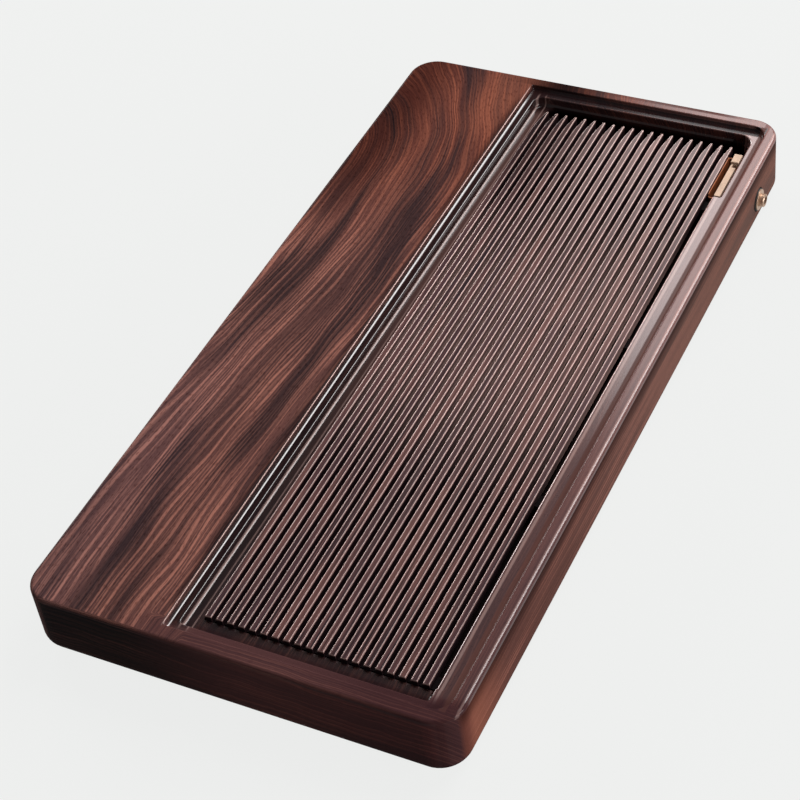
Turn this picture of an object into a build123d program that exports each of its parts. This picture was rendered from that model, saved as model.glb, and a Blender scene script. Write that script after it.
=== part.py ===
from build123d import *
import os

# Gongfu tea tray: a walnut slab with a dry board on the left and a drained well on the right.
# Millimetres. X runs across to the outlet side, Y along to the drain end, Z up.
# The origin is under the middle of the slab, on the surface that the feet stand on.

# Slab
tray_width = 275.0
tray_length = 550.0
tray_thickness = 45.0
corner_radius = 19.0
top_edge_radius = 2.5
bottom_edge_radius = 8.0

# Sunk ledge around the wet zone
dry_board_width = 92.0
right_rim_width = 8.0
near_rim_width = 10.0
far_rim_width = 8.5
ledge_depth = 3.7
ledge_left_corner_radius = 2.5
ledge_right_corner_radius = 11.0
ledge_wall_foot_radius = 2.4
arris_radius = 0.7

# Well inside the ledge, with a narrow apron around the basin
left_ledge_width = 6.2
near_ledge_width = 6.3
far_ledge_width = 7.3
right_ledge_width = 13.7
well_near_corner_radius = 3.0
well_far_corner_radius = 7.0
apron_near_depth = 7.3
apron_far_depth = 10.5
apron_foot_radius = 2.8
left_apron_width = 10.0
near_apron_width = 9.5
far_apron_width = 1.2

# Shallow rebate along the wide right ledge
rebate_width = 6.1
rebate_drop = 0.7
rebate_near_inset = 9.0
rebate_corner_radius = 3.0
rebate_edge_radius = 1.3

# Basin under the slats: a shelf on each side carries the rack, the floor falls to a cross trough
basin_near_corner_radius = 1.0
basin_far_corner_radius = 4.0
shelf_width = 4.0
basin_near_floor_depth = 17.5
basin_far_floor_depth = 22.0
trough_length = 13.2
trough_depth = 25.0

# Alcove in the right ledge over the drain sump
alcove_length = 68.2
alcove_far_corner_radius = 9.0
alcove_near_corner_radius = 1.0
sump_step = 0.8
sump_width = 14.0
sump_depth = 31.0

# Slats
slat_count = 20
slat_width = 4.1
slat_height = 6.0
slat_top_drop = 0.2
slat_edge_radius = 0.7
slat_nose_length = 20.0
slat_tip_width = 1.4
slat_tip_radius = 0.3
slat_end_gap = 0.5
slat_side_gap = 1.0
slat_basket_gap = 0.64

# Cross battens of the rack
batten_count = 4
batten_width = 9.0
batten_height = 6.0
batten_end_gap = 0.4
batten_inset = 1.5
housing_depth = 1.0
housing_clearance = 0.05

# Strainer: a copper basket with a brass bar and finger tab on its rim
basket_width = 8.7
basket_length = 45.0
basket_wall = 0.6
basket_corner_radius = 2.0
basket_gap = 0.3
basket_inner_wall_depth = 5.0
basket_rim_depth = 6.5
basket_near_gap = 0.4
hole_radius = 1.2
hole_pitch = 4.6
hole_columns = 9
hole_rows = 3
bar_width = 4.0
bar_top_depth = 3.8
bar_slot_length = 3.2
bar_neck_width = 1.2
bar_slot_from_far = 10.0
tab_width = 5.5
tab_length = 9.2
tab_height = 1.5
tab_edge_radius = 0.5
rivet_radius = 0.8
rivet_pitch = 4.4
rivet_depth_in_tab = 0.8

# Drain outlet in the right wall
outlet_from_far_end = 53.0
outlet_height = 19.4
counterbore_radius = 8.2
counterbore_depth = 1.6
counterbore_edge_radius = 0.3
bush_radius = 6.0
shank_radius = 4.55
shank_end_gap = 0.6
thread_clearance = 0.05
washer_radius = 7.9
washer_thickness = 2.4
collar_radius = 7.3
collar_thickness = 0.8
collar_edge_radius = 0.3
hose_stub_radius = 4.5
hose_stub_length = 3.4
hose_stub_chamfer = 0.5
outlet_bore_radius = 3.2

# Feet and their screws
foot_inset = 32.0
foot_radius = 11.0
foot_height = 2.5
foot_pocket_depth = 3.0
foot_clearance = 0.1
foot_edge_radius = 0.8
screw_head_radius = 3.7
screw_head_height = 2.2
screw_head_lift = 0.9
screw_radius = 1.7
screw_length = 13.0
screw_hole_clearance = 0.05
driver_slot_width = 0.9
driver_slot_depth = 0.7

# Shared
cut_overrun = 1.0
tolerance = 0.01

# Levels
slab_bottom = foot_height
slab_top = slab_bottom + tray_thickness
ledge_level = slab_top - ledge_depth
rebate_level = ledge_level - rebate_drop
apron_near_level = slab_top - apron_near_depth
apron_far_level = slab_top - apron_far_depth
slat_top = ledge_level - slat_top_drop
slat_bottom = slat_top - slat_height
batten_top = slat_bottom + housing_depth
shelf_level = batten_top - batten_height
sump_floor = slab_top - sump_depth
outlet_level = slab_bottom + outlet_height

# Plan lines
tray_left = -tray_width / 2
tray_right = tray_width / 2
tray_near = -tray_length / 2
tray_far = tray_length / 2
recess_left = tray_left + dry_board_width
recess_right = tray_right - right_rim_width
recess_near = tray_near + near_rim_width
recess_far = tray_far - far_rim_width
well_left = recess_left + left_ledge_width
well_right = recess_right - right_ledge_width
well_near = recess_near + near_ledge_width
well_far = recess_far - far_ledge_width
basin_left = well_left + left_apron_width
basin_right = well_right
basin_near = well_near + near_apron_width
basin_far = well_far - far_apron_width
alcove_right = well_right + rebate_width
alcove_near = well_far - alcove_length
rebate_near = well_near + rebate_near_inset
sump_right = alcove_right - sump_step
sump_left = sump_right - sump_width
slat_near = basin_near + slat_end_gap
slat_far = basin_far - trough_length
slat_length = slat_far - slat_near
basket_right = sump_right - basket_gap
basket_left = basket_right - basket_width
first_slat_left = basin_left + slat_side_gap
last_slat_left = basket_left - slat_basket_gap - slat_width
slat_pitch = (last_slat_left - first_slat_left) / (slat_count - 1)
basket_near = alcove_near + basket_near_gap
basket_far = basket_near + basket_length
basket_top = slab_top - basket_rim_depth
outlet_y = tray_far - outlet_from_far_end
bush_near_x = sump_right
counterbore_floor_x = tray_right - counterbore_depth


def rounded_plan(left, right, near, far, near_left, near_right, far_right, far_left):
    """A four-sided flat outline with a round of its own in each corner, or none where the radius is 0."""
    plan = Pos((left + right) / 2, (near + far) / 2) * Rectangle(right - left, far - near)
    corners = (
        (left, near, near_left),
        (right, near, near_right),
        (right, far, far_right),
        (left, far, far_left),
    )
    for x, y, radius in corners:
        if radius > 0:
            corner = plan.vertices().sort_by_distance((x, y, 0))[0]
            plan = fillet(corner, radius)
    return plan


def raised(plan, bottom, top):
    """The solid over a flat outline between two levels."""
    return Pos(0, 0, bottom) * extrude(plan, amount=top - bottom)


def sloped(plan, near, far, near_floor, far_floor, top):
    """The solid over a flat outline with a floor that falls or climbs from near to far."""
    side = Polygon((near, near_floor), (far, far_floor), (far, top), (near, top), align=None)
    wedge = extrude(Plane.YZ * side, amount=tray_width, both=True)
    return raised(plan, min(near_floor, far_floor), top) & wedge


def level_edges(solid, level, left, right, near, far):
    """The edges that lie flat at one level inside a plan box."""
    found = []
    for edge in solid.edges():
        box = edge.bounding_box()
        middle = edge.center()
        flat = abs(box.min.Z - level) < tolerance and abs(box.max.Z - level) < tolerance
        across = left - tolerance < middle.X < right + tolerance
        along = near - tolerance < middle.Y < far + tolerance
        if flat and across and along:
            found.append(edge)
    return ShapeList(found)


def rod(radius, start, end, y, z):
    """A round bar along X between two places."""
    return Pos((start + end) / 2, y, z) * Rot(0, 90, 0) * Cylinder(radius, end - start)


def post(radius, bottom, top, x, y):
    """A round bar along Z between two levels."""
    return Pos(x, y, (bottom + top) / 2) * Cylinder(radius, top - bottom)


def foot_places():
    """The four foot centres, with the name that goes with each."""
    x = tray_width / 2 - foot_inset
    y = tray_length / 2 - foot_inset
    return {"near_left": (-x, -y), "near_right": (x, -y), "far_left": (-x, y), "far_right": (x, y)}


def make_slab():
    """The outside of the slab: upright rounded corners, a small round above and a large one below."""
    plan = RectangleRounded(tray_width, tray_length, corner_radius)
    slab = raised(plan, slab_bottom, slab_top)
    slab = fillet(slab.edges().group_by(Axis.Z)[0], bottom_edge_radius)
    return fillet(slab.edges().group_by(Axis.Z)[-1], top_edge_radius)


def make_ledge_cutter():
    """The shallow sunk zone, with a hollow round where its wall meets the ledge."""
    plan = rounded_plan(recess_left, recess_right, recess_near, recess_far, ledge_left_corner_radius,
                        ledge_right_corner_radius, ledge_right_corner_radius, ledge_left_corner_radius)
    cutter = raised(plan, ledge_level, slab_top + cut_overrun)
    return fillet(cutter.edges().group_by(Axis.Z)[0], ledge_wall_foot_radius)


def make_rebate_cutter():
    """The shallow rebate along the inner side of the wide right ledge."""
    far = alcove_near + cut_overrun
    plan = rounded_plan(well_right - cut_overrun, alcove_right, rebate_near, far, tolerance, rebate_corner_radius, tolerance, tolerance)
    return raised(plan, rebate_level, ledge_level + cut_overrun)


def make_rebate_edge_cutter():
    """What is taken off the rebate's inner edge to make it round."""
    right = well_right + rebate_edge_radius
    far = alcove_near + cut_overrun
    middle_y = (rebate_near + far) / 2
    length = far - rebate_near
    left = well_right - cut_overrun
    strip = Pos((left + right) / 2, middle_y) * Rectangle(right - left, length)
    kept = Pos(right, middle_y, rebate_level - rebate_edge_radius) * Rot(90, 0, 0) * Cylinder(
        rebate_edge_radius, length + cut_overrun)
    return raised(strip, rebate_level - rebate_edge_radius, rebate_level + cut_overrun) - kept


def make_well_cutter():
    """The well down to its apron, the basin, the trough, the alcove and the sump, as one solid."""
    plan = rounded_plan(well_left, well_right, well_near, well_far, well_near_corner_radius,
                        well_near_corner_radius, well_near_corner_radius, well_far_corner_radius)
    top = ledge_level + cut_overrun
    well = sloped(plan, well_near, well_far, apron_near_level, apron_far_level, top)
    well = fillet(well.faces().sort_by(Axis.Z)[0].edges(), apron_foot_radius)
    radius = basin_far_corner_radius
    near_radius = basin_near_corner_radius
    upper_plan = rounded_plan(basin_left, basin_right, basin_near, basin_far,
                              near_radius, near_radius, radius, radius)
    upper = raised(upper_plan, shelf_level, top)
    lower_plan = rounded_plan(basin_left + shelf_width, basin_right - shelf_width, basin_near, basin_far,
                              near_radius, near_radius, radius, radius)
    lower = sloped(lower_plan, basin_near, basin_far, slab_top - basin_near_floor_depth,
                   slab_top - basin_far_floor_depth, shelf_level)
    trough_plan = rounded_plan(basin_left + shelf_width, sump_left + radius, slat_far, basin_far,
                               radius, 0, 0, radius)
    trough = raised(trough_plan, slab_top - trough_depth, shelf_level)
    alcove_plan = rounded_plan(sump_left, alcove_right, alcove_near, well_far, alcove_near_corner_radius,
                               alcove_near_corner_radius, alcove_far_corner_radius, tolerance)
    alcove = raised(alcove_plan, apron_far_level, top)
    sump_plan = rounded_plan(sump_left, sump_right, alcove_near, basin_far, alcove_near_corner_radius,
                             alcove_near_corner_radius, alcove_far_corner_radius, radius)
    sump = raised(sump_plan, sump_floor, apron_far_level)
    return well + upper + lower + trough + alcove + sump


def make_tray_body():
    """The slab with its sunk ledge, well, drain bore, foot pockets and screw holes."""
    body = make_slab() - make_ledge_cutter()
    body = fillet(level_edges(body, slab_top, recess_left, recess_right, recess_near, recess_far), arris_radius)
    body = body - make_rebate_cutter()
    body = body - make_well_cutter()
    body = fillet(level_edges(body, ledge_level, well_left, well_right, well_near, well_far), arris_radius)
    body = body - make_rebate_edge_cutter()
    counterbore = rod(counterbore_radius, counterbore_floor_x, tray_right + cut_overrun, outlet_y, outlet_level)
    body = body - counterbore
    mouth = body.edges().filter_by(GeomType.CIRCLE).sort_by_distance((tray_right, outlet_y, outlet_level))[0]
    body = fillet(mouth, counterbore_edge_radius)
    body = body - rod(bush_radius + thread_clearance, bush_near_x - cut_overrun, counterbore_floor_x + tolerance,
                      outlet_y, outlet_level)
    for x, y in foot_places().values():
        body = body - post(foot_radius + foot_clearance, slab_bottom - cut_overrun,
                           slab_bottom + foot_pocket_depth, x, y)
        body = body - post(screw_radius + screw_hole_clearance, slab_bottom, screw_head_lift + screw_length
                           + cut_overrun, x, y)
    return body


def make_slat():
    """One slat: square near end, and at the far end its left side sweeps in to a narrow tip."""
    sweep_start = slat_length - slat_nose_length
    tip_left = slat_width - slat_tip_width
    outline = Line((0, 0), (0, sweep_start))
    outline += TangentArc((0, sweep_start), (tip_left, slat_length), tangent=(0, 1))
    outline += Line((tip_left, slat_length), (slat_width, slat_length))
    outline += Line((slat_width, slat_length), (slat_width, 0))
    outline += Line((slat_width, 0), (0, 0))
    plan = make_face(outline)
    slat = raised(plan, slat_bottom, slat_top)
    tip = slat.edges().filter_by(Axis.Z).sort_by(Axis.Y)[-2:]
    slat = fillet(tip, slat_tip_radius)
    slat = fillet(slat.edges().group_by(Axis.Z)[-1], slat_edge_radius)
    return Pos(first_slat_left, slat_near, 0) * slat


def batten_centres():
    """The places of the battens along Y, evenly spaced up to the drain sump."""
    first = slat_near + batten_inset + batten_width / 2
    last = alcove_near - batten_inset - batten_width / 2
    step = (last - first) / (batten_count - 1)
    return [first + step * index for index in range(batten_count)]


def make_batten(y):
    """A cross batten with a housing cut for each slat."""
    left = basin_left + batten_end_gap
    right = basin_right - batten_end_gap
    batten = Pos((left + right) / 2, y, (shelf_level + batten_top) / 2) * Box(right - left, batten_width,
                                                                              batten_height)
    half_housing = slat_width / 2 + housing_clearance
    for index in range(slat_count):
        middle = first_slat_left + slat_pitch * index + slat_width / 2
        housing = Box(half_housing * 2, batten_width + cut_overrun * 2, housing_depth + cut_overrun)
        batten -= Pos(middle, y, slat_bottom + (housing_depth + cut_overrun) / 2) * housing
    return batten


def make_basket():
    """The copper basket: an open box with a taller inner wall and rows of holes in both long walls."""
    middle_x = (basket_left + basket_right) / 2
    middle_y = (basket_near + basket_far) / 2
    middle = Pos(middle_x, middle_y)
    inner_top = slab_top - basket_inner_wall_depth
    outside = middle * RectangleRounded(basket_width, basket_length, basket_corner_radius)
    inside = middle * RectangleRounded(basket_width - basket_wall * 2, basket_length - basket_wall * 2,
                                       basket_corner_radius - basket_wall)
    basket = raised(outside, sump_floor, basket_top) - raised(inside, sump_floor + basket_wall, inner_top)
    tall_wall = Rectangle(basket_wall, basket_length - basket_corner_radius * 2)
    basket += raised(Pos(basket_left + basket_wall / 2, middle_y) * tall_wall, basket_top, inner_top)
    for row in range(hole_rows):
        height = outlet_level + hole_pitch * (row - (hole_rows - 1) / 2)
        for column in range(hole_columns):
            y = middle_y + hole_pitch * (column - (hole_columns - 1) / 2)
            basket -= rod(hole_radius, basket_left - cut_overrun, basket_right + cut_overrun, y, height)
    return basket


def rivet_places():
    """The two rivets that hold the finger tab on the bar."""
    middle_x = basket_right - bar_width / 2
    middle_y = basket_far - tab_length / 2
    return [(middle_x, middle_y - rivet_pitch / 2), (middle_x, middle_y + rivet_pitch / 2)]


def make_bar():
    """The brass bar on the basket's rim, with an open slot that leaves a thin neck before the tab."""
    top = slab_top - bar_top_depth
    left = basket_right - bar_width
    bar = Pos((left + basket_right) / 2, (basket_near + basket_far) / 2, (basket_top + top) / 2) * Box(
        bar_width, basket_length, top - basket_top)
    slot_far = basket_far - bar_slot_from_far
    slot = Box(bar_width - bar_neck_width + cut_overrun, bar_slot_length, top - basket_top + cut_overrun * 2)
    bar -= Pos(left + bar_neck_width + (bar_width - bar_neck_width + cut_overrun) / 2,
               slot_far - bar_slot_length / 2, (basket_top + top) / 2) * slot
    for x, y in rivet_places():
        bar -= post(rivet_radius + tolerance, basket_top - cut_overrun, top + cut_overrun, x, y)
    return bar


def make_tab():
    """The raised finger tab on the far end of the bar."""
    bottom = slab_top - bar_top_depth
    middle_x = basket_right - bar_width / 2
    tab = Pos(middle_x, basket_far - tab_length / 2, bottom + tab_height / 2) * Box(tab_width, tab_length,
                                                                                    tab_height)
    tab = fillet(tab.edges().group_by(Axis.Z)[-1], tab_edge_radius)
    for x, y in rivet_places():
        tab -= post(rivet_radius + tolerance, bottom - cut_overrun, bottom + rivet_depth_in_tab, x, y)
    return tab


def make_rivets():
    """The two rivets, from the underside of the bar up into the tab."""
    top = slab_top - bar_top_depth + rivet_depth_in_tab
    return Compound([post(rivet_radius, basket_top, top, x, y) for x, y in rivet_places()])


def make_bush():
    """The threaded bush pressed into the wall between the sump and the counterbore."""
    bush = rod(bush_radius, bush_near_x, counterbore_floor_x, outlet_y, outlet_level)
    return bush - rod(shank_radius + thread_clearance, bush_near_x - cut_overrun,
                      counterbore_floor_x + cut_overrun, outlet_y, outlet_level)


def make_washer():
    """The rubber seal between the wood and the nipple's collar."""
    end = counterbore_floor_x + washer_thickness
    washer = rod(washer_radius, counterbore_floor_x, end, outlet_y, outlet_level)
    return washer - rod(shank_radius + thread_clearance, counterbore_floor_x - cut_overrun,
                        end + cut_overrun, outlet_y, outlet_level)


def make_nipple():
    """The brass nipple: threaded shank, round collar and a short stub for the hose, with one bore."""
    collar_start = counterbore_floor_x + washer_thickness
    collar_end = collar_start + collar_thickness
    tip = collar_end + hose_stub_length
    collar = rod(collar_radius, collar_start, collar_end, outlet_y, outlet_level)
    collar = fillet(collar.edges().group_by(Axis.X)[-1], collar_edge_radius)
    stub = rod(hose_stub_radius, collar_end, tip, outlet_y, outlet_level)
    stub = chamfer(stub.edges().group_by(Axis.X)[-1], hose_stub_chamfer)
    shank = rod(shank_radius, bush_near_x + shank_end_gap, collar_start, outlet_y, outlet_level)
    nipple = shank + collar + stub
    return nipple - rod(outlet_bore_radius, bush_near_x - cut_overrun, tip + cut_overrun, outlet_y, outlet_level)


def make_foot(x, y):
    """A rubber foot let into the slab, with a stepped hole for its screw."""
    foot = post(foot_radius, 0, slab_bottom + foot_pocket_depth, x, y)
    foot = fillet(foot.edges().group_by(Axis.Z)[0], foot_edge_radius)
    head_space = screw_head_radius + foot_clearance
    foot -= post(head_space, -cut_overrun, screw_head_lift + screw_head_height, x, y)
    return foot - post(screw_radius + screw_hole_clearance, 0, slab_bottom + foot_pocket_depth + cut_overrun, x, y)


def make_foot_screws():
    """One slotted screw up through each foot."""
    screws = []
    for x, y in foot_places().values():
        head_top = screw_head_lift + screw_head_height
        head = post(screw_head_radius, screw_head_lift, head_top, x, y)
        slot = Box(screw_head_radius * 2 + cut_overrun, driver_slot_width, driver_slot_depth * 2)
        head -= Pos(x, y, screw_head_lift) * slot
        screws.append(head + post(screw_radius, head_top, screw_head_lift + screw_length, x, y))
    return Compound(screws)


def write(name, shape):
    """Save one sub-part under its own name."""
    shape.label = name
    export_step(shape, os.path.join("parts", name + ".step"))


os.makedirs("parts", exist_ok=True)
write("tray_body", make_tray_body())
slat = make_slat()
for number in range(slat_count):
    write(f"slat_{number + 1:02d}", Pos(slat_pitch * number, 0, 0) * slat)
for number, centre in enumerate(batten_centres()):
    write(f"batten_{number + 1}", make_batten(centre))
write("strainer_basket", make_basket())
write("strainer_bar", make_bar())
write("strainer_tab", make_tab())
write("strainer_rivets", make_rivets())
write("outlet_bush", make_bush())
write("outlet_washer", make_washer())
write("outlet_nipple", make_nipple())
for name, (x, y) in foot_places().items():
    write("foot_" + name, make_foot(x, y))
write("foot_screws", make_foot_screws())
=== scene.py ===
import math
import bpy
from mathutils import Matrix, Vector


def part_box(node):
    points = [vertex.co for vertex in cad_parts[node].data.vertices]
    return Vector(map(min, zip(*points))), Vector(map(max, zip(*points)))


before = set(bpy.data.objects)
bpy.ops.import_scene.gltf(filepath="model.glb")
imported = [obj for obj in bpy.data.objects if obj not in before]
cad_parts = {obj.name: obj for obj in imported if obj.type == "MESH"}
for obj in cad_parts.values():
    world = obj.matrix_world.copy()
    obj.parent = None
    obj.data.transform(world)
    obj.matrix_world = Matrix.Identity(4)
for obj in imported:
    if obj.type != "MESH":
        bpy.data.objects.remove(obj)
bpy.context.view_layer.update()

from types import SimpleNamespace

import bpy
from bpy.props import FloatProperty, FloatVectorProperty, PointerProperty

bl_info = {
    "name": "Gongfu Tea Tray",
    "version": (1, 0, 0),
    "blender": (4, 5, 0),
    "location": "3D View > Sidebar > Tea Tray",
    "description": "Finishes for a walnut tea tray with a slatted well, and a plain stage",
    "category": "Material",
}

# Millimetres in a metre: the finishes are worked out in millimetres
MM = 1000.0

# The box of the whole part, and the pieces that the finishes take their places from
SLAB_LOW, SLAB_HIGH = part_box("tray_body")
SLAT_LOW, SLAT_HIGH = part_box("slat_01")
SLAT_PITCH = (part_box("slat_02")[0][0] - SLAT_LOW[0]) * MM
NIPPLE_LOW, NIPPLE_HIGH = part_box("outlet_nipple")
SLAB_LEFT = SLAB_LOW[0] * MM
SLAB_NEAR = SLAB_LOW[1] * MM
SLAB_BOTTOM = SLAB_LOW[2] * MM
SLAB_RIGHT = SLAB_HIGH[0] * MM
SLAB_FAR = SLAB_HIGH[1] * MM
SLAB_TOP = SLAB_HIGH[2] * MM
SLATS_LEFT = SLAT_LOW[0] * MM
SLATS_TOP = SLAT_HIGH[2] * MM
OUTLET_Y, OUTLET_Z = [(NIPPLE_LOW[axis] + NIPPLE_HIGH[axis]) / 2 * MM for axis in (1, 2)]

# The sunk zone, measured in from the slab's sides
DRY_BOARD_WIDTH = 92.0
RIGHT_RIM_WIDTH = 8.0
NEAR_RIM_WIDTH = 10.0
FAR_RIM_WIDTH = 8.5
SUNK_LEFT = SLAB_LEFT + DRY_BOARD_WIDTH
SUNK_RIGHT = SLAB_RIGHT - RIGHT_RIM_WIDTH
SUNK_NEAR = SLAB_NEAR + NEAR_RIM_WIDTH
SUNK_FAR = SLAB_FAR - FAR_RIM_WIDTH

# The well, measured in from the sunk zone's sides
LEFT_LEDGE_WIDTH = 6.2
RIGHT_LEDGE_WIDTH = 13.7
NEAR_LEDGE_WIDTH = 6.3
FAR_LEDGE_WIDTH = 7.3
WELL_LEFT = SUNK_LEFT + LEFT_LEDGE_WIDTH
WELL_RIGHT = SUNK_RIGHT - RIGHT_LEDGE_WIDTH
WELL_NEAR = SUNK_NEAR + NEAR_LEDGE_WIDTH
WELL_FAR = SUNK_FAR - FAR_LEDGE_WIDTH

# Bands that run along the slab, each with its left and right limit. On the left of the slats they are the
# dry board's arris and the painted highlight line on it, the moulding's first floor and the painted highlight
# lines of its two beads, and the apron
ARRIS = (SUNK_LEFT - 1.6, SUNK_LEFT)
ARRIS_HIGHLIGHT_BAND = (SUNK_LEFT - 0.8, SUNK_LEFT - 0.1)
MOULDING_FLOOR = (SUNK_LEFT + 1.9, WELL_LEFT - 1.0)
BEAD_HIGHLIGHTS = ((WELL_LEFT + 0.7, WELL_LEFT + 1.9), (WELL_LEFT + 6.2, WELL_LEFT + 7.1))
APRON = (WELL_LEFT + 2.4, WELL_LEFT + 20.0)

# On the right of the slats they are the wide ledge with the painted highlight line of its lip, a painted
# highlight band called its brow and its brown strip, then the hollow at the foot of the right rim, and the
# rim's outer edge
WIDE_LEDGE = (WELL_RIGHT, SUNK_RIGHT - 5.0)
LIP_HIGHLIGHT = (WELL_RIGHT - 0.2, WELL_RIGHT + 1.3)
BROW_HIGHLIGHT = (SUNK_RIGHT - 11.6, SUNK_RIGHT - 9.9)
STRIP = (SUNK_RIGHT - 5.0, SUNK_RIGHT - 0.9)
HOLLOW = (SUNK_RIGHT - 2.7, SUNK_RIGHT + 1.0)
OUTER_EDGE = (SLAB_RIGHT - 2.9, SLAB_RIGHT - 1.6)

# The log's heart: its depth below the slab's top at the near end, how far it rises, and how far it then dives
HEART_DEPTH = 62.0
HEART_RISE = 37.0
HEART_DIVE = 78.0

# Spacing of the light lines and of the fine hairs in the slab, across the rings
LINE_SPACING = 4.1
HAIR_SPACING = 1.9

# Dark veins in the slab: distance from the log's heart, half width and softness, then where along the slab
# each begins and ends, and how dark it is
VEINS = (
    (103.5, 4.0, 5.0, 70.0, 380.0, 0.55),
    (122.5, 0.9, 1.3, 475.0, 570.0, 0.75),
    (60.0, 4.0, 6.0, 385.0, 440.0, 0.60),
)

# Length and width of the brush marks in metal
BRUSH_LENGTH = 30.0
BRUSH_WIDTH = 0.12

# Tints that a tone is multiplied by: two on the dry board's left edge, at the front and at the drain end,
# then one in the pores of the slab and one between the fibres of the slats
FRONT_LEFT_TINT = (1.00, 1.09, 1.20)
FAR_LEFT_TINT = (0.46, 0.40, 0.40)
PORE_TINT = (0.38, 0.30, 0.30)
FIBRE_TINT = (0.60, 0.52, 0.52)

# Tints in and round the sunk zone. The basin's is painted shade on the deep floor of the well, and the slat
# corner's is painted shade on the slats in the far left corner
BASIN_SHADE_TINT = (0.15, 0.13, 0.13)
FAR_RIM_TINT = (0.30, 0.28, 0.28)
CROWN_TINT = (0.45, 0.36, 0.34)
NEAR_RIM_TINT = (0.55, 0.50, 0.56)
SLAT_CORNER_SHADE_TINT = (0.42, 0.38, 0.38)

# Tints on the slab's sides. The outlet's is painted shade round the drain outlet
UNDER_RIM_TINT = (0.22, 0.17, 0.17)
NEAR_SIDE_TINT = (1.30, 1.00, 0.98)
NEAR_SIDE_LEFT_TINT = (0.20, 0.22, 0.24)
OUTLET_SHADE_TINT = (0.10, 0.09, 0.09)

# Softboxes, in metres: name, place, aim, width and height. Each has its power in the stage's settings
SOFTBOXES = (
    ("key", (0.70, 1.55, 1.85), (0.05, 0.10, 0.0), 1.2, 2.1),
    ("sheen", (-0.15, 1.50, 1.00), (0.05, 0.10, 0.0), 0.6, 0.9),
    ("rear", (-1.75, 1.30, 0.72), (0.0, 0.0, 0.0), 1.3, 0.7),
    ("side", (1.80, -0.15, 0.60), (0.10, 0.0, 0.0), 1.0, 0.6),
)

# The camera: its place in metres, its turn in degrees and its lens in millimetres
CAMERA_PLACE = (0.4871, -0.8511, 0.9333)
CAMERA_TURN = (46.033, 6.137, 25.485)
CAMERA_LENS = 94.57
CAMERA_SENSOR_WIDTH = 36.0

# Half the width of the square floor, in metres
FLOOR_HALF_WIDTH = 12.0


def colour(name, words, default):
    """A colour that a user can change."""
    return FloatVectorProperty(name=name, description=words, subtype="COLOR", size=3, min=0.0, max=1.0,
                               default=default)


def share(name, words, default):
    """A share between nothing and all."""
    return FloatProperty(name=name, description=words, subtype="FACTOR", min=0.0, max=1.0, default=default)


def power(name, words, default):
    """A lamp's power."""
    return FloatProperty(name=name, description=words, unit="POWER", default=default)


class TrayWalnutSettings(bpy.types.PropertyGroup):
    """Colours and gloss of the walnut."""

    vein: colour("Vein", "Darkest bands of the heartwood", (0.032, 0.018, 0.019))
    body: colour("Body", "Middle tone of the heartwood", (0.098, 0.042, 0.037))
    russet: colour("Russet", "Middle tone of the heartwood at the drain end", (0.100, 0.032, 0.024))
    streak: colour("Streak", "Light streaks near the front end", (0.345, 0.142, 0.105))
    # Ember also gives the painted highlight at the near end of the right side
    ember_and_highlight: colour("Ember", "Warm streaks in the swirl at the drain end", (0.300, 0.096, 0.056))
    # Painted shade: the near black of the well, its ledges, a band along the dry board's edge and the battens
    painted_shade: colour("Wet", "Near black stain of the well and its mouldings", (0.008, 0.004, 0.005))
    plum: colour("Plum", "Tone of the wide ledge", (0.062, 0.026, 0.028))
    # Painted sheen: the rims and wide ledge blend from plum to this pink towards the drain end
    rim: colour("Rim", "Pinkish tone of the polished rims at the drain end", (0.230, 0.115, 0.105))
    strip: colour("Strip", "Brown strips beside the slats", (0.110, 0.048, 0.040))
    side: colour("Side", "Warm brown of the right side", (0.120, 0.041, 0.029))
    side_far: colour("Far Side", "Greyer brown of the right side at the drain end", (0.152, 0.090, 0.073))
    # Painted highlight: the pale lines on the arrises, beads, lip, brow and outer edge, and the sheen on the
    # slat tops
    painted_highlight: colour("Worn Edge", "Pale rubbed arrises of the slats and the ledge", (0.520, 0.340, 0.305))
    slat: colour("Slat", "Middle tone of the slats", (0.064, 0.029, 0.032))
    # Also painted shade on the slat sides
    slat_grain_and_shade: colour("Slat Grain", "Dark grain in the slats", (0.022, 0.012, 0.014))
    slat_light: colour("Slat Light", "Pale patches across the slats", (0.220, 0.095, 0.078))
    # Painted light on the slat sides in the middle of the rack
    slat_side_lit: colour("Slat Side", "Sides of the slats in the middle of the rack", (0.520, 0.330, 0.300))
    # Painted highlight on each slat's left arris
    slat_edge_highlight: colour("Slat Edge", "Bright arris on the left of each slat", (0.680, 0.460, 0.420))
    dry_roughness: share("Dry Roughness", "Roughness of the oiled board", 0.58)
    wet_roughness: share("Wet Roughness", "Roughness of the polished sunk zone", 0.30)
    pith_offset: FloatProperty(name="Pith Offset", unit="LENGTH", default=0.040,
                               description="How far the log's heart lies outside the slab's left side")


class TrayMetalSettings(bpy.types.PropertyGroup):
    """Colours and gloss of the metal pieces."""

    brass: colour("Brass", "Pale brass of the bar, tab and outlet", (0.58, 0.40, 0.29))
    copper: colour("Copper", "Copper sheet of the strainer", (0.40, 0.125, 0.05))
    steel: colour("Steel", "Foot screws", (0.55, 0.55, 0.56))
    brass_roughness: share("Brass Roughness", "Roughness of the brushed brass and steel", 0.42)
    copper_roughness: share("Copper Roughness", "Roughness of the copper sheet", 0.36)


class TrayStageSettings(bpy.types.PropertyGroup):
    """The floor's tone and the light."""

    background: colour("Background", "Pale grey behind the tray", (0.855, 0.863, 0.855))
    key_power: power("Key Power", "Tall softbox behind the tray, to the right", 62.0)
    sheen_power: power("Sheen Power", "Small softbox behind the tray that the right rim reflects", 5.0)
    rear_power: power("Rear Power", "Low softbox behind the tray, to the left", 38.0)
    side_power: power("Side Power", "Softbox on the tray's right", 26.0)
    ambient: share("Ambient", "Light from all round", 0.10)


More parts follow.
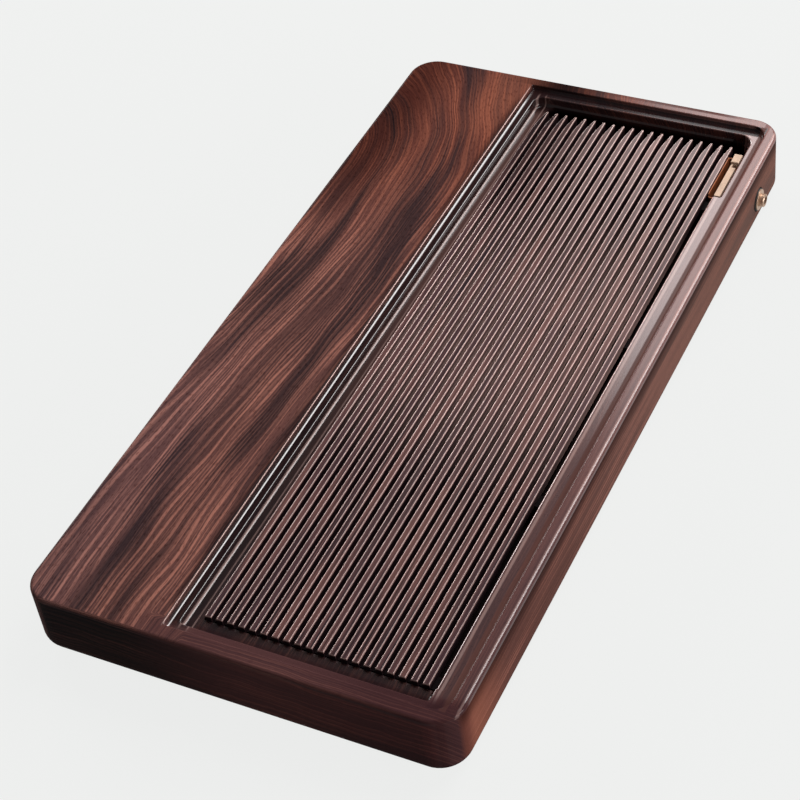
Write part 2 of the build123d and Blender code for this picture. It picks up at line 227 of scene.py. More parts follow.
class Value:
    """A number or vector socket on which Python's operators add Math nodes."""

    def __init__(self, maker, socket):
        self.maker = maker
        self.socket = socket

    def __add__(self, other):
        return self.maker.math("ADD", self, other)

    def __radd__(self, other):
        return self.maker.math("ADD", other, self)

    def __sub__(self, other):
        return self.maker.math("SUBTRACT", self, other)

    def __rsub__(self, other):
        return self.maker.math("SUBTRACT", other, self)

    def __mul__(self, other):
        return self.maker.math("MULTIPLY", self, other)

    def __rmul__(self, other):
        return self.maker.math("MULTIPLY", other, self)

    def __truediv__(self, other):
        return self.maker.math("DIVIDE", self, other)

    def __pow__(self, other):
        return self.maker.math("POWER", self, other)


class Finish:
    """A new material and the nodes that make it up."""

    def __init__(self, name):
        self.material = bpy.data.materials.new(name)
        self.material.use_nodes = True
        self.tree = self.material.node_tree
        self.tree.nodes.clear()

    def node(self, kind, settings=None, inputs=None):
        """A node of one type, with its settings made first and then its sockets given values or links."""
        node = self.tree.nodes.new(kind)
        for name, setting in (settings or {}).items():
            setattr(node, name, setting)
        for name, value in (inputs or {}).items():
            if isinstance(name, int):
                socket = node.inputs[name]
            else:
                socket = next(s for s in node.inputs if s.name == name and s.enabled)
            if isinstance(value, Value):
                self.tree.links.new(value.socket, socket)
            elif socket.type == "RGBA":
                socket.default_value = (*value[:3], 1.0)
            else:
                socket.default_value = value
        return node

    def value(self, kind, settings=None, inputs=None, output=0):
        """One output of a new node, by its number or its name."""
        node = self.node(kind, settings, inputs)
        if isinstance(output, int):
            return Value(self, node.outputs[output])
        return Value(self, next(s for s in node.outputs if s.name == output and s.enabled))

    def math(self, operation, *values):
        """A Math node."""
        return self.value("ShaderNodeMath", {"operation": operation}, dict(enumerate(values)))

    def place(self):
        """The place on the piece in millimetres, as three numbers."""
        coordinates = self.value("ShaderNodeTexCoord", output="Object")
        split = self.node("ShaderNodeSeparateXYZ", inputs={"Vector": coordinates})
        return [Value(self, split.outputs[axis]) * MM for axis in range(3)]

    def noise(self, x, y, z, detail=2.0, roughness=0.5):
        """Soft noise about one half, with one lump to a unit of each number."""
        vector = self.value("ShaderNodeCombineXYZ", inputs={"X": x, "Y": y, "Z": z})
        return self.value("ShaderNodeTexNoise", {"noise_dimensions": "3D"},
                          {"Vector": vector, "Scale": 1.0, "Detail": detail, "Roughness": roughness})

    def sway(self, reach, x, y, z):
        """Plain noise that goes from minus to plus its reach."""
        return self.noise(x, y, z, detail=1.0) * (2.0 * reach) - reach

    def wave(self, turns):
        """A sine wave, with one wave to each whole number."""
        return self.math("SINE", turns * math.tau)

    def distance(self, across, up):
        """How far away a place is that lies this far across and this far up."""
        return (across * across + up * up) ** 0.5

    def largest(self, *values):
        """The largest of some numbers."""
        top = values[0]
        for value in values[1:]:
            top = self.math("MAXIMUM", top, value)
        return top

    def rise(self, value, low, high):
        """Nought below low, one above high, and a smooth rise between."""
        return self.value("ShaderNodeMapRange", {"interpolation_type": "SMOOTHSTEP", "clamp": True},
                          {"Value": value, "From Min": low, "From Max": high, "To Min": 0.0, "To Max": 1.0})

    def fall(self, value, low, high):
        """One below low, nought above high, and a smooth fall between."""
        return 1.0 - self.rise(value, low, high)

    def between(self, value, low, high, soft):
        """One between two limits, with soft edges."""
        return self.rise(value, low - soft, low + soft) * self.fall(value, high - soft, high + soft)

    def blend(self, factor, first, second):
        """A number between two numbers."""
        return first * (1.0 - factor) + second * factor

    def mix(self, factor, first, second):
        """A colour between two colours."""
        return self.value("ShaderNodeMix", {"data_type": "RGBA"},
                          {"Factor": factor, "A": first, "B": second}, "Result")

    def tint(self, factor, first, second):
        """A colour multiplied by another, as far as the factor says."""
        return self.value("ShaderNodeMix", {"data_type": "RGBA", "blend_type": "MULTIPLY"},
                          {"Factor": factor, "A": first, "B": second}, "Result")

    def bump(self, height, depth, strength):
        """A normal that follows a height of nought to one, with its depth in metres."""
        return self.value("ShaderNodeBump",
                          inputs={"Height": height, "Distance": depth, "Strength": strength})

    def surface(self, inputs):
        """The closing shader and its output."""
        shader = self.value("ShaderNodeBsdfPrincipled", inputs=inputs)
        self.node("ShaderNodeOutputMaterial", inputs={"Surface": shader})
        return self.material


# The slab's wood

def log_figure(finish, x, y, z, pith_offset):
    """The distance from the log's heart, and the place along the grain.

    The heart lies outside the left side and below the top. It rises towards the far third and then dives, so
    the rings drift inwards from the near end and sweep back to the left side in arcs at the far end. On the
    right side the grain runs straight along the slab, and on the near rim and side it runs across it.
    """
    along = y - SLAB_NEAR
    heart_depth = (HEART_DEPTH - HEART_RISE * finish.rise(along, 90.0, 410.0)
                   + HEART_DIVE * finish.rise(along, 410.0, 575.0))
    drift = finish.sway(8.0, x / 60.0, y / 170.0, z / 60.0)
    ripple = finish.sway(1.7, x / 18.0, y / 65.0, z / 18.0)
    swirl = finish.sway(5.0, x / 34.0, y / 60.0, 3.0) * finish.rise(along, 370.0, 470.0)
    across = x - SLAB_LEFT + pith_offset * MM + drift + ripple + swirl
    ring = finish.distance(across, z - SLAB_TOP + heart_depth)

    right_side = finish.rise(x, SLAB_RIGHT - 9.0, SLAB_RIGHT - 4.0)
    ring = finish.blend(right_side, ring, 190.0 + z * 1.3 + drift * 0.5)
    near_rim = finish.fall(y, SUNK_NEAR + 2.0, SUNK_NEAR + 6.0) * (
        finish.rise(x, SUNK_LEFT - 12.0, SUNK_LEFT + 16.0))
    near = finish.largest(near_rim, finish.fall(y, SLAB_NEAR + 0.4, SLAB_NEAR + 2.2))
    ring = finish.blend(near, ring, 320.0 + z * 0.9 + y * 1.6 + ripple)
    along = finish.blend(near, along, x)
    return ring, along


def walnut(finish, settings, x, y, z):
    """The colour of the slab's heartwood and the height of its pores.

    Noise that is long along the rings gives dark bands, fibres and pores, and two waves across the rings give
    the light lines and hairs of the latewood. All follow the log's figure, so they bend together.
    """
    ring, along = log_figure(finish, x, y, z, settings.pith_offset)

    def streaks(width, length, seed, detail=1.0, roughness=0.5):
        """Noise in streaks of this width and length that follow the rings."""
        return finish.noise(ring / width, along / length, seed, detail, roughness)

    bands = finish.rise(streaks(16.0, 230.0, 0.0, detail=2.0), 0.36, 0.60)
    wander = streaks(28.0, 150.0, 5.0, detail=2.0) * 3.2
    line_gaps = finish.rise(streaks(8.0, 120.0, 9.0), 0.34, 0.56)
    lines = finish.rise(finish.wave(ring / LINE_SPACING + wander), 0.25, 0.90) * line_gaps
    hair_gaps = finish.rise(streaks(6.0, 90.0, 13.0), 0.40, 0.62)
    hairs = finish.rise(finish.wave(ring / HAIR_SPACING + wander * 1.6), 0.10, 0.90) * hair_gaps
    fibres = streaks(0.9, 55.0, 7.0, detail=2.0, roughness=0.6)
    pores = finish.rise(streaks(0.55, 4.0, 11.0), 0.52, 0.70)

    far = finish.rise(along, 290.0, 470.0)
    light = finish.mix(far, settings.streak, settings.ember_and_highlight)
    tone = finish.mix(bands, settings.vein, finish.mix(far, settings.body, settings.russet))
    tone = finish.mix(lines * (0.22 + 0.78 * bands) * (0.80 - 0.46 * far), tone, light)
    tone = finish.mix(hairs * (0.16 + 0.40 * bands), tone, light)
    tone = finish.mix(finish.rise(fibres, 0.42, 0.70) * (0.05 + 0.22 * bands), tone, light)
    for centre, half_width, softness, start, end, strength in VEINS:
        vein = finish.between(ring, centre - half_width, centre + half_width, softness)
        vein = vein * finish.between(along, start, end, 45.0)
        tone = finish.mix(vein * strength, tone, settings.vein)

    from_left = x - SLAB_LEFT
    front_left = finish.fall(from_left, 15.0, 60.0) * finish.fall(along, 120.0, 300.0)
    tone = finish.tint(front_left, tone, FRONT_LEFT_TINT)
    far_left = finish.fall(from_left, 12.0, 48.0) * finish.rise(along, 330.0, 430.0)
    tone = finish.tint(far_left * 0.95, tone, FAR_LEFT_TINT)
    glow = finish.between(from_left, 62.0, 105.0, 14.0) * finish.rise(along, 455.0, 520.0)
    tone = finish.mix(glow * (0.05 + 0.60 * fibres), tone, settings.ember_and_highlight)
    tone = finish.tint(pores * 0.60, tone, PORE_TINT)
    height = fibres * 0.5 + (1.0 - pores) * 0.5
    return tone, height


# The slab's stains, painted shade, painted sheen and highlights, and polish

def slab_zones(finish, x, y, z):
    """The slab's parts as masks, how far below its top a place lies, and how near the drain end it is."""
    drop = SLAB_TOP - z
    top = finish.fall(drop, 2.2, 2.7)
    sunk = finish.between(x, SUNK_LEFT, SUNK_RIGHT, 0.5) * finish.between(y, SUNK_NEAR, SUNK_FAR, 0.5)
    far_ledge = sunk * finish.rise(y, WELL_FAR, WELL_FAR + 1.5)
    near_rim = finish.fall(y, SUNK_NEAR + 4.0, SUNK_NEAR + 16.0) * (
        finish.rise(x, SUNK_LEFT - 8.0, SUNK_LEFT + 25.0))
    rims = finish.rise(x, SUNK_LEFT + 20.0, SUNK_RIGHT - 30.0) * top
    return SimpleNamespace(
        drop=drop,
        along=finish.rise(y, SLAB_NEAR + 20.0, SLAB_FAR - 60.0),
        above_base=finish.rise(z, SLAB_BOTTOM + 0.4, SLAB_BOTTOM + 1.4),
        sunk=sunk,
        well=finish.between(x, WELL_LEFT, WELL_RIGHT, 0.6) * finish.between(y, WELL_NEAR, WELL_FAR, 0.6),
        far_ledge=far_ledge,
        side_ledge=sunk * (1.0 - far_ledge),
        apron=(finish.between(x, *APRON, 0.6) * finish.rise(y, SLAB_NEAR + 40.0, SUNK_FAR - 80.0)
               * finish.fall(y, WELL_FAR - 16.0, WELL_FAR - 4.0)),
        strip=sunk * finish.between(x, *STRIP, 0.5),
        rims=rims,
        near_rim=near_rim,
        crown=rims * finish.rise(y, SLAB_FAR - 5.0, SLAB_FAR - 3.6) * (
            finish.fall(x, SUNK_RIGHT - 40.0, SUNK_RIGHT - 8.0)),
        arris=finish.between(x, *ARRIS, 0.3) * finish.between(y, SUNK_NEAR, SUNK_FAR - 4.0, 2.0),
        outer_edge=finish.between(x, *OUTER_EDGE, 0.3) * top,
        right_side=finish.rise(x, SLAB_RIGHT - 2.4, SLAB_RIGHT - 0.3) * (1.0 - top),
        near_side=finish.fall(y, SLAB_NEAR + 0.3, SLAB_NEAR + 2.4) * (1.0 - top),
    )


def stain_and_shade_sunk_zone(finish, settings, zones, x, y, tone):
    """The wood's tone with painted shade in the sunk zone, and brown on the apron and the strip.

    The painted shade turns the well, its left and far ledges and a band along the dry board's edge near
    black.
    """
    near_left = finish.fall(y, SUNK_NEAR - 2.0, SUNK_NEAR + 14.0) * (
        finish.between(x, SUNK_LEFT - 14.0, SUNK_LEFT + 20.0, 14.0))
    far_rim = finish.rise(y, SUNK_FAR - 0.5, SUNK_FAR) * finish.between(x, SUNK_LEFT, SUNK_LEFT + 50.0, 22.0)
    # A band along the dry board's edge that is painted dark as shade
    beside = finish.between(x, SUNK_LEFT - 4.0, SUNK_LEFT + 3.0, 3.0) * (
        finish.between(y, SUNK_NEAR + 12.0, SUNK_FAR - 18.0, 14.0))
    left_ledge = zones.sunk * finish.fall(x, WELL_LEFT + 5.0, WELL_LEFT + 7.0)
    # Painted shade: the left and far ledges, the well and that band turn near black
    dark = finish.largest(left_ledge, zones.far_ledge, beside * 0.8, zones.well * 0.85)
    dark = dark * finish.rise(y, SUNK_NEAR - 1.0, SUNK_NEAR + 9.0)

    tone = finish.mix(zones.sunk * 0.35, tone, settings.plum)
    tone = finish.mix(finish.largest(zones.near_rim * 0.72, near_left * 0.60), tone, settings.plum)
    tone = finish.tint(far_rim, tone, FAR_RIM_TINT)
    tone = finish.mix(dark * 0.88, tone, settings.painted_shade)
    tone = finish.mix(zones.apron * 0.75, tone, settings.strip)
    tone = finish.mix(zones.strip * 0.75, tone, settings.strip)
    # Painted shade that darkens the deep floor of the well
    return finish.tint(finish.rise(zones.drop, 9.0, 15.0) * zones.sunk, tone, BASIN_SHADE_TINT)


def colour_rims(finish, settings, zones, x, tone):
    """The tone with a painted pink sheen on the rims and wide ledge that grows towards the drain end, a
    painted highlight band (the brow) on that ledge, and a darker far rim.
    """
    # Painted sheen: pink that grows towards the drain end on the rims and wide ledge
    painted_rim_sheen = finish.mix(zones.along, settings.plum, settings.rim)
    wide_ledge = zones.side_ledge * finish.between(x, *WIDE_LEDGE, 0.6)
    brow = zones.side_ledge * finish.between(x, *BROW_HIGHLIGHT, 0.4) * (1.0 - zones.near_rim)
    tone = finish.mix(zones.rims * (1.0 - zones.near_rim) * (1.0 - zones.sunk) * 0.70, tone, painted_rim_sheen)
    tone = finish.mix(wide_ledge * 0.70, tone, painted_rim_sheen)
    # Painted highlight band on the wide ledge
    tone = finish.mix(brow * 0.42, tone, settings.painted_highlight)
    return finish.tint(zones.crown, tone, CROWN_TINT)


def colour_sides(finish, settings, zones, x, y, z, tone):
    """The tone with a brown right side with a warm painted highlight at its near end, and a near side that
    darkens to the left.

    The right side is dark under its rim, and painted shade darkens it round the drain outlet.
    """
    corner = zones.right_side * finish.fall(y, SLAB_NEAR + 20.0, SLAB_NEAR + 75.0)
    under_rim = zones.right_side * finish.fall(zones.drop, 2.4, 17.0)
    near_rim_right = zones.near_rim * finish.rise(x, SUNK_LEFT + 60.0, SUNK_RIGHT - 20.0)
    left_part = finish.fall(x, SLAB_LEFT + 60.0, SLAB_LEFT + 150.0)
    outlet = finish.rise(x, SLAB_RIGHT - 4.0, SLAB_RIGHT - 2.0) * (
        finish.fall(finish.distance(y - OUTLET_Y, z - OUTLET_Z), 8.0, 9.0))

    side = finish.mix(zones.along, settings.side, settings.side_far)
    tone = finish.mix(zones.right_side * 0.50, tone, side)
    # Painted highlight: warm at the near end of the right side
    tone = finish.mix(corner * 0.42, tone, settings.ember_and_highlight)
    tone = finish.tint(under_rim * 0.85, tone, UNDER_RIM_TINT)
    tone = finish.tint(near_rim_right * 0.80, tone, NEAR_RIM_TINT)
    tone = finish.tint(zones.near_side, tone, NEAR_SIDE_TINT)
    tone = finish.tint(zones.near_side * left_part, tone, NEAR_SIDE_LEFT_TINT)
    # Painted shade round the drain outlet
    return finish.tint(outlet, tone, OUTLET_SHADE_TINT)


def highlight_line_mask(finish, zones, x, y):
    """A mask of the thin painted highlight lines: the arris, the two beads, the lip of the well and the outer
    edge.
    """
    arris_highlight = finish.between(x, *ARRIS_HIGHLIGHT_BAND, 0.2) * zones.arris
    beads = finish.largest(*[finish.between(x, *bead, 0.3) for bead in BEAD_HIGHLIGHTS])
    beads = beads * finish.between(y, SUNK_NEAR + 4.0, SUNK_FAR - 6.0, 3.0)
    lip = zones.side_ledge * finish.between(x, *LIP_HIGHLIGHT, 0.3) * (1.0 - zones.near_rim)
    return finish.largest(arris_highlight, beads * 0.60, lip * (0.30 + zones.along * 0.50),
                          zones.outer_edge * (0.35 + zones.along * 0.40))


def slab_polish(finish, zones, x, y):
    """A mask of the polish on the sunk zone and its rims, with the dark floors and brown strips left dull."""
    near_wall = finish.fall(y, SUNK_NEAR + 9.0, SUNK_NEAR + 13.0) * (
        finish.rise(x, SUNK_LEFT + 13.0, SUNK_LEFT + 16.0))
    moulding_floor = finish.between(x, *MOULDING_FLOOR, 0.3)
    far_corner = finish.rise(y, SUNK_FAR - 22.0, SUNK_FAR - 8.0) * (
        finish.fall(x, WELL_LEFT + 2.0, WELL_LEFT + 12.0))
    basin = zones.well * finish.rise(zones.drop, 9.0, 14.0)

    polish = finish.largest(zones.sunk * (1.0 - zones.well * 0.35 - zones.far_ledge * 0.70), zones.arris,
                            zones.rims * 0.55, zones.outer_edge * 0.50)
    polish = polish * (1.0 - zones.apron * 0.70 * finish.rise(x, WELL_LEFT + 7.0, WELL_LEFT + 8.0))
    polish = polish * (1.0 - zones.strip * 0.85)
    polish = polish * (1.0 - finish.largest(zones.near_rim, near_wall) * 0.95)
    polish = polish * (1.0 - zones.crown * 0.90)
    return polish * (1.0 - finish.largest(moulding_floor, far_corner, basin) * 0.85)


def slab_finish(settings):
    """Oiled walnut on the dry board and the sides, polished on the rims, and painted near black as shade in
    the sunk zone.

    The rims carry a painted pink sheen and painted highlight lines. The underside is plain oiled walnut.
    """
    finish = Finish("slab_walnut")
    x, y, z = finish.place()
    zones = slab_zones(finish, x, y, z)
    plain, height = walnut(finish, settings, x, y, z)
    lines = highlight_line_mask(finish, zones, x, y)
    tone = stain_and_shade_sunk_zone(finish, settings, zones, x, y, plain)
    tone = colour_rims(finish, settings, zones, x, tone)
    tone = colour_sides(finish, settings, zones, x, y, z, tone)
    # Painted highlights: the pale lines on the arris, beads, lip and outer edge
    tone = finish.mix(lines * 0.50, tone, settings.painted_highlight)
    tone = finish.mix(zones.above_base, plain, tone)

    lines = lines * zones.above_base
    polish = slab_polish(finish, zones, x, y) * zones.above_base
    hollow = finish.between(x, *HOLLOW, 0.3) * (1.0 - zones.far_ledge)
    coat = (0.03 + polish * 0.97) * (1.0 - finish.largest(lines * 0.80, hollow * 0.75))
    gloss = settings.dry_roughness + (settings.wet_roughness - settings.dry_roughness) * polish
    return finish.surface({
        "Base Color": tone,
        "Roughness": gloss + (height - 0.5) * 0.12,
        "Metallic": polish * 0.25 + lines * 0.25,
        "Specular IOR Level": 0.0,
        "Coat Weight": coat,
        "Coat Roughness": 0.16,
        "Coat IOR": 1.9,
        "Normal": finish.bump(height * (1.0 - polish), 0.00006, 0.5),
    })


# The slat rack

def slat_grain(finish, settings, x, y, z):
    """The colour of the slats' wood and its fibres, with pale patches that run on from slat to slat."""
    grain = finish.noise(x / 0.9, y / 140.0, z / 0.9, roughness=0.6)
    fibres = finish.noise(x / 0.4, y / 50.0, z / 0.4)
    sweep = x + finish.noise(x / 60.0, y / 120.0, 4.0, detail=1.0) * 40.0
    patches = finish.rise(finish.noise(sweep / 24.0, y / 130.0, 2.0), 0.42, 0.62)
    light = patches * finish.rise(grain + patches * 0.15, 0.38, 0.66)
    tone = finish.mix(finish.rise(grain, 0.36, 0.60), settings.slat_grain_and_shade, settings.slat)
    tone = finish.mix(light * 0.40, tone, settings.slat_light)
    tone = finish.tint(finish.rise(fibres, 0.5, 0.8) * 0.40, tone, FIBRE_TINT)
    return tone, fibres


def slat_finish(settings):
    """Polished walnut with straight grain along each slat, and painted highlights as pale lines on its
    arrises.

    The tops are rosy in the middle of the rack, with a painted sheen that makes them pale towards the drain
    and painted shade that darkens them in the far left corner. The sides are dull, dark with painted shade,
    and painted light only in the middle of the rack.
    """
    finish = Finish("slat_walnut")
    x, y, z = finish.place()
    tone, fibres = slat_grain(finish, settings, x, y, z)
    front = finish.fall(y, SLAB_NEAR + 110.0, SLAB_NEAR + 260.0)
    middle = finish.between(y, SLAB_NEAR + 215.0, SLAB_NEAR + 385.0, 60.0)
    corner = finish.rise(y, SLAB_FAR - 170.0, SLAB_FAR - 80.0) * (
        finish.fall(x, SUNK_LEFT + 10.0, SUNK_LEFT + 90.0))
    pale = finish.rise(y, SLAB_NEAR + 370.0, SLAB_FAR - 70.0) * (
        finish.rise(x, SUNK_LEFT + 22.0, SUNK_LEFT + 80.0))
    rosy = finish.rise(y, SLAB_NEAR + 40.0, SLAB_NEAR + 180.0) * (
        finish.between(x, SUNK_LEFT + 70.0, SUNK_RIGHT - 15.0, 30.0))
    # Painted shade on the slats in the far left corner
    tone = finish.tint(corner, tone, SLAT_CORNER_SHADE_TINT)
    # Painted sheen: pale tops towards the drain, and a touch of the same colour on the rosy tops
    tone = finish.mix(pale * 0.16 + rosy * (1.0 - pale) * 0.05, tone, settings.painted_highlight)

    drop = SLATS_TOP - z
    below_top = finish.rise(drop, 0.7, 1.6)
    # The sides are painted dark as shade, and painted light in the middle of the rack
    side_light = middle * (0.25 + 0.75 * finish.rise(drop, 1.5, 5.0))
    sides = finish.mix(side_light, settings.slat_grain_and_shade, settings.slat_side_lit)
    tone = finish.mix(below_top, tone, sides)
    arrises = finish.rise(drop, 0.01, 0.10) * finish.fall(drop, 0.45, 0.85)
    # Painted highlight on the arrises
    tone = finish.mix(arrises * (0.80 - corner * 0.25 - front * 0.30), tone, settings.painted_highlight)

    # How far across its own slat a place is, counted from a little left of the slat
    lead = 0.5
    across = finish.math("FRACT", (x - SLATS_LEFT + lead) / SLAT_PITCH) * SLAT_PITCH - lead
    left_arris = finish.fall(across, 0.6, 1.3) * (1.0 - corner) * (1.0 - below_top)
    # Painted highlight on each slat's left arris
    tone = finish.mix(left_arris * (0.42 - front * 0.14), tone, settings.slat_edge_highlight)
    coat = (0.24 + pale * 0.12) * (1.0 - below_top) + 0.16 * arrises
    return finish.surface({
        "Base Color": tone,
        "Roughness": 0.34 + (fibres - 0.5) * 0.16,
        "Metallic": 0.10 + arrises * 0.25,
        "Specular IOR Level": 0.0,
        "Coat Weight": coat * (1.0 - corner * 0.5),
        "Coat Roughness": 0.20,
        "Coat IOR": 2.0,
        "Normal": finish.bump(fibres, 0.00001, 0.3),
    })


def batten_finish(settings):
    """Walnut painted near black as shade, with grain that runs along each batten."""
    finish = Finish("batten_walnut")
    x, y, z = finish.place()
    grain = finish.noise(x / 60.0, y / 0.9, z / 0.9, detail=3.0, roughness=0.6)
    # Near black as painted shade
    shade_black = (0.002, 0.0015, 0.0015)
    return finish.surface({
        "Base Color": finish.mix(finish.rise(grain, 0.35, 0.65), shade_black, settings.painted_shade),
        "Roughness": 0.70 + (grain - 0.5) * 0.20,
        "Specular IOR Level": 0.05,
        "Normal": finish.bump(grain, 0.00008, 0.5),
    })


# Metal and rubber

def brushed_finish(name, tone, roughness, axis, metallic):
    """Metal brushed along one axis, with faint clouds in its colour."""
    finish = Finish(name)
    place = finish.place()
    marks = [place[i] / (BRUSH_LENGTH if i == axis else BRUSH_WIDTH) for i in range(3)]
    brushing = finish.noise(*marks)
    clouds = finish.noise(place[0] / 6.0, place[1] / 9.0, place[2] / 6.0, detail=3.0)
    dull = tuple(part * 0.62 for part in tone)
    return finish.surface({
        "Base Color": finish.mix(finish.rise(clouds, 0.35, 0.70) * 0.50 + brushing * 0.25, tone, dull),
        "Metallic": metallic,
        "Roughness": roughness + (brushing - 0.5) * 0.30,
        "Specular IOR Level": 0.2,
        "Normal": finish.bump(brushing, 0.00003, 0.6),
    })


def rubber_finish():
    """Matt black rubber with a fine grain."""
    finish = Finish("rubber")
    x, y, z = finish.place()
    grain = finish.noise(x / 0.5, y / 0.5, z / 0.5, detail=3.0)
    return finish.surface({
        "Base Color": finish.mix(grain, (0.012, 0.012, 0.012), (0.035, 0.034, 0.033)),
        "Roughness": 0.62 + (grain - 0.5) * 0.20,
        "Normal": finish.bump(grain, 0.00006, 0.5),
    })


# The buttons that finish the pieces

def dress(names, material):
    """Give CAD nodes one material."""
    for name in names:
        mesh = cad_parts[name].data
        mesh.materials.clear()
        mesh.materials.append(material)


def starting_with(beginning):
    """The names of the CAD nodes that begin in one way, in order."""
    return sorted(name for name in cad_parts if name.startswith(beginning))


class TRAY_OT_slab(bpy.types.Operator):
    """Finish the slab in oiled and polished walnut"""

    bl_idname = "tray.slab"
    bl_label = "Slab"

    def execute(self, context):
        dress(["tray_body"], slab_finish(context.scene.tray_walnut))
        return {"FINISHED"}


class TRAY_OT_rack(bpy.types.Operator):
    """Finish the slats and the battens that carry them"""

    bl_idname = "tray.rack"
    bl_label = "Slat Rack"

    def execute(self, context):
        walnut_settings = context.scene.tray_walnut
        dress(starting_with("slat_"), slat_finish(walnut_settings))
        dress(starting_with("batten_"), batten_finish(walnut_settings))
        return {"FINISHED"}


class TRAY_OT_strainer(bpy.types.Operator):
    """Finish the copper basket and its brass bar, tab and rivets"""

    bl_idname = "tray.strainer"
    bl_label = "Strainer"

    def execute(self, context):
        metal = context.scene.tray_metal
        copper = brushed_finish("copper", tuple(metal.copper), metal.copper_roughness, axis=1, metallic=0.25)
        brass = brushed_finish("bar_brass", tuple(metal.brass), metal.brass_roughness, axis=1, metallic=0.20)
        dress(["strainer_basket"], copper)
        dress(["strainer_bar", "strainer_tab", "strainer_rivets"], brass)
        return {"FINISHED"}


class TRAY_OT_outlet(bpy.types.Operator):
    """Finish the brass outlet and the bush that it screws into"""

    bl_idname = "tray.outlet"
    bl_label = "Drain Outlet"

    def execute(self, context):
        metal = context.scene.tray_metal
        tone = tuple(metal.brass)
        brass = brushed_finish("outlet_brass", tone, metal.brass_roughness, axis=0, metallic=0.85)
        dress(["outlet_nipple", "outlet_bush"], brass)
        return {"FINISHED"}


class TRAY_OT_feet(bpy.types.Operator):
    """Finish the rubber feet, the outlet's rubber washer and the steel screws"""

    bl_idname = "tray.feet"
    bl_label = "Feet and Seal"

    def execute(self, context):
        metal = context.scene.tray_metal
        feet = [name for name in starting_with("foot_") if name != "foot_screws"]
        steel = brushed_finish("steel", tuple(metal.steel), metal.brass_roughness, axis=0, metallic=0.90)
        dress(feet + ["outlet_washer"], rubber_finish())
        dress(["foot_screws"], steel)
        return {"FINISHED"}


# The stage

def floor_finish(background):
    """A pale floor that keeps the tray's shadow, with most of what the camera sees given as plain light."""
    plain_share = 0.90
    matt_tone = tuple(part * 0.45 for part in background)
    plain_tone = tuple(part * 1.06 for part in background)
    finish = Finish("floor")
    rays = finish.node("ShaderNodeLightPath")
    kinds = ("Is Camera Ray", "Is Glossy Ray", "Is Transmission Ray")
    camera, glossy, transmission = [Value(finish, rays.outputs[kind]) for kind in kinds]
    factor = finish.math("MINIMUM", camera + glossy + transmission, 1.0) * plain_share
    matt = finish.value("ShaderNodeBsdfDiffuse", inputs={"Color": matt_tone})
    plain = finish.value("ShaderNodeEmission", inputs={"Color": plain_tone, "Strength": 1.0})
    mixed = finish.value("ShaderNodeMixShader", inputs={0: factor, 1: matt, 2: plain})
    finish.node("ShaderNodeOutputMaterial", inputs={"Surface": mixed})
    return finish.material


def add_floor(background):
    """A flat square floor at the level that the feet stand on."""
    half = FLOOR_HALF_WIDTH
    mesh = bpy.data.meshes.new("floor")
    corners = [(-half, -half, 0.0), (half, -half, 0.0), (half, half, 0.0), (-half, half, 0.0)]
    mesh.from_pydata(corners, [], [(0, 1, 2, 3)])
    mesh.materials.append(floor_finish(background))
    floor = bpy.data.objects.new("floor", mesh)
    bpy.context.scene.collection.objects.link(floor)


def add_softbox(name, place, aim, width, height, energy):
    """A flat lamp at one place that faces another."""
    lamp = bpy.data.lights.new(name, "AREA")
    lamp.shape = "RECTANGLE"
    lamp.size = width
    lamp.size_y = height
    lamp.energy = energy
    holder = bpy.data.objects.new(name, lamp)
    holder.location = place
    away = [p - a for p, a in zip(place, aim)]
    flat = math.hypot(away[0], away[1])
    holder.rotation_euler = (math.atan2(flat, away[2]), 0.0, math.atan2(away[1], away[0]) + math.pi / 2)
    bpy.context.scene.collection.objects.link(holder)


def add_surroundings(strength):
    """Even white light from all round."""
    world = bpy.data.worlds.new("surroundings")
    world.use_nodes = True
    ground = world.node_tree.nodes["Background"]
    ground.inputs["Color"].default_value = (1.0, 1.0, 1.0, 1.0)
    ground.inputs["Strength"].default_value = strength
    bpy.context.scene.world = world


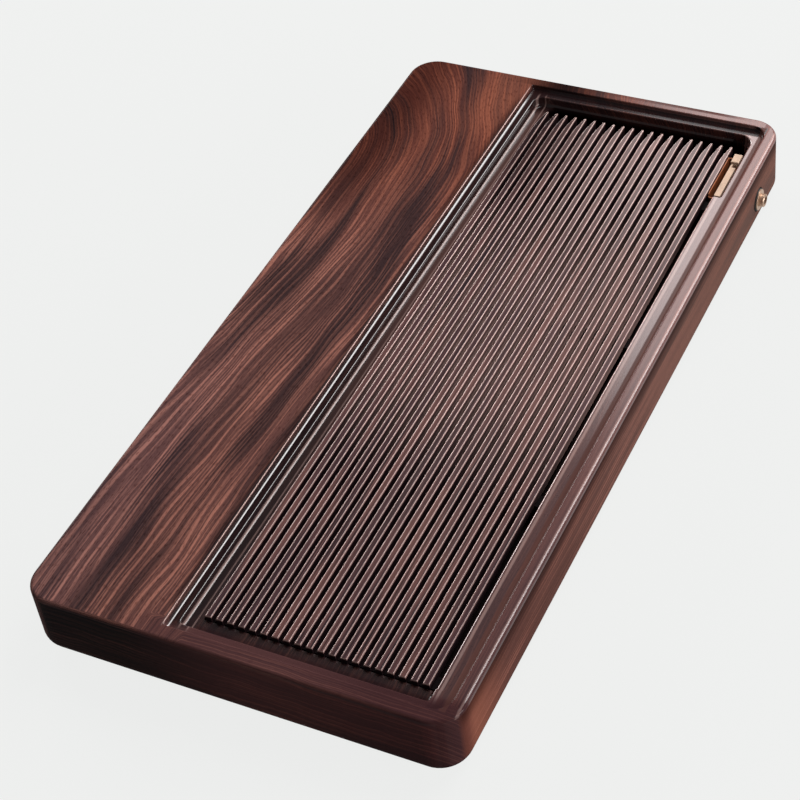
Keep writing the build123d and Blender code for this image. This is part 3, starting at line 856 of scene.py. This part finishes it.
def add_camera():
    """The camera that looks down on the tray from the near right."""
    lens = bpy.data.cameras.new("camera")
    lens.sensor_width = CAMERA_SENSOR_WIDTH
    lens.lens = CAMERA_LENS
    camera = bpy.data.objects.new("camera", lens)
    camera.location = CAMERA_PLACE
    camera.rotation_euler = [math.radians(angle) for angle in CAMERA_TURN]
    bpy.context.scene.collection.objects.link(camera)
    bpy.context.scene.camera = camera


class TRAY_OT_stage(bpy.types.Operator):
    """Add the floor, the lamps, the surrounding light and the camera"""

    bl_idname = "tray.stage"
    bl_label = "Stage"

    def execute(self, context):
        stage = context.scene.tray_stage
        add_floor(tuple(stage.background))
        for name, place, aim, width, height in SOFTBOXES:
            energy = getattr(stage, name + "_power")
            add_softbox(name + "_softbox", place, aim, width, height, energy)
        add_surroundings(stage.ambient)
        add_camera()
        context.scene.view_settings.view_transform = "Standard"
        return {"FINISHED"}


OPERATORS = (TRAY_OT_slab, TRAY_OT_rack, TRAY_OT_strainer, TRAY_OT_outlet, TRAY_OT_feet, TRAY_OT_stage)


class TRAY_PT_sidebar(bpy.types.Panel):
    """Lists the tray's settings and the buttons that finish its pieces"""

    bl_idname = "TRAY_PT_sidebar"
    bl_label = "Tea Tray"
    bl_space_type = "VIEW_3D"
    bl_region_type = "UI"
    bl_category = "Tea Tray"

    def draw(self, context):
        scene = context.scene
        for group in (scene.tray_walnut, scene.tray_metal, scene.tray_stage):
            box = self.layout.box()
            for name in group.__annotations__:
                box.prop(group, name)
        for operator in OPERATORS:
            self.layout.operator(operator.bl_idname)


GROUPS = {"tray_walnut": TrayWalnutSettings, "tray_metal": TrayMetalSettings, "tray_stage": TrayStageSettings}


def register():
    for name, group in GROUPS.items():
        bpy.utils.register_class(group)
        setattr(bpy.types.Scene, name, PointerProperty(type=group))
    for operator in OPERATORS:
        bpy.utils.register_class(operator)
    bpy.utils.register_class(TRAY_PT_sidebar)


def unregister():
    bpy.utils.unregister_class(TRAY_PT_sidebar)
    for operator in reversed(OPERATORS):
        bpy.utils.unregister_class(operator)
    for name, group in GROUPS.items():
        delattr(bpy.types.Scene, name)
        bpy.utils.unregister_class(group)


def main():
    register()
    bpy.ops.tray.slab()
    bpy.ops.tray.rack()
    bpy.ops.tray.strainer()
    bpy.ops.tray.outlet()
    bpy.ops.tray.feet()
    bpy.ops.tray.stage()


if __name__ == "__main__":
    main()
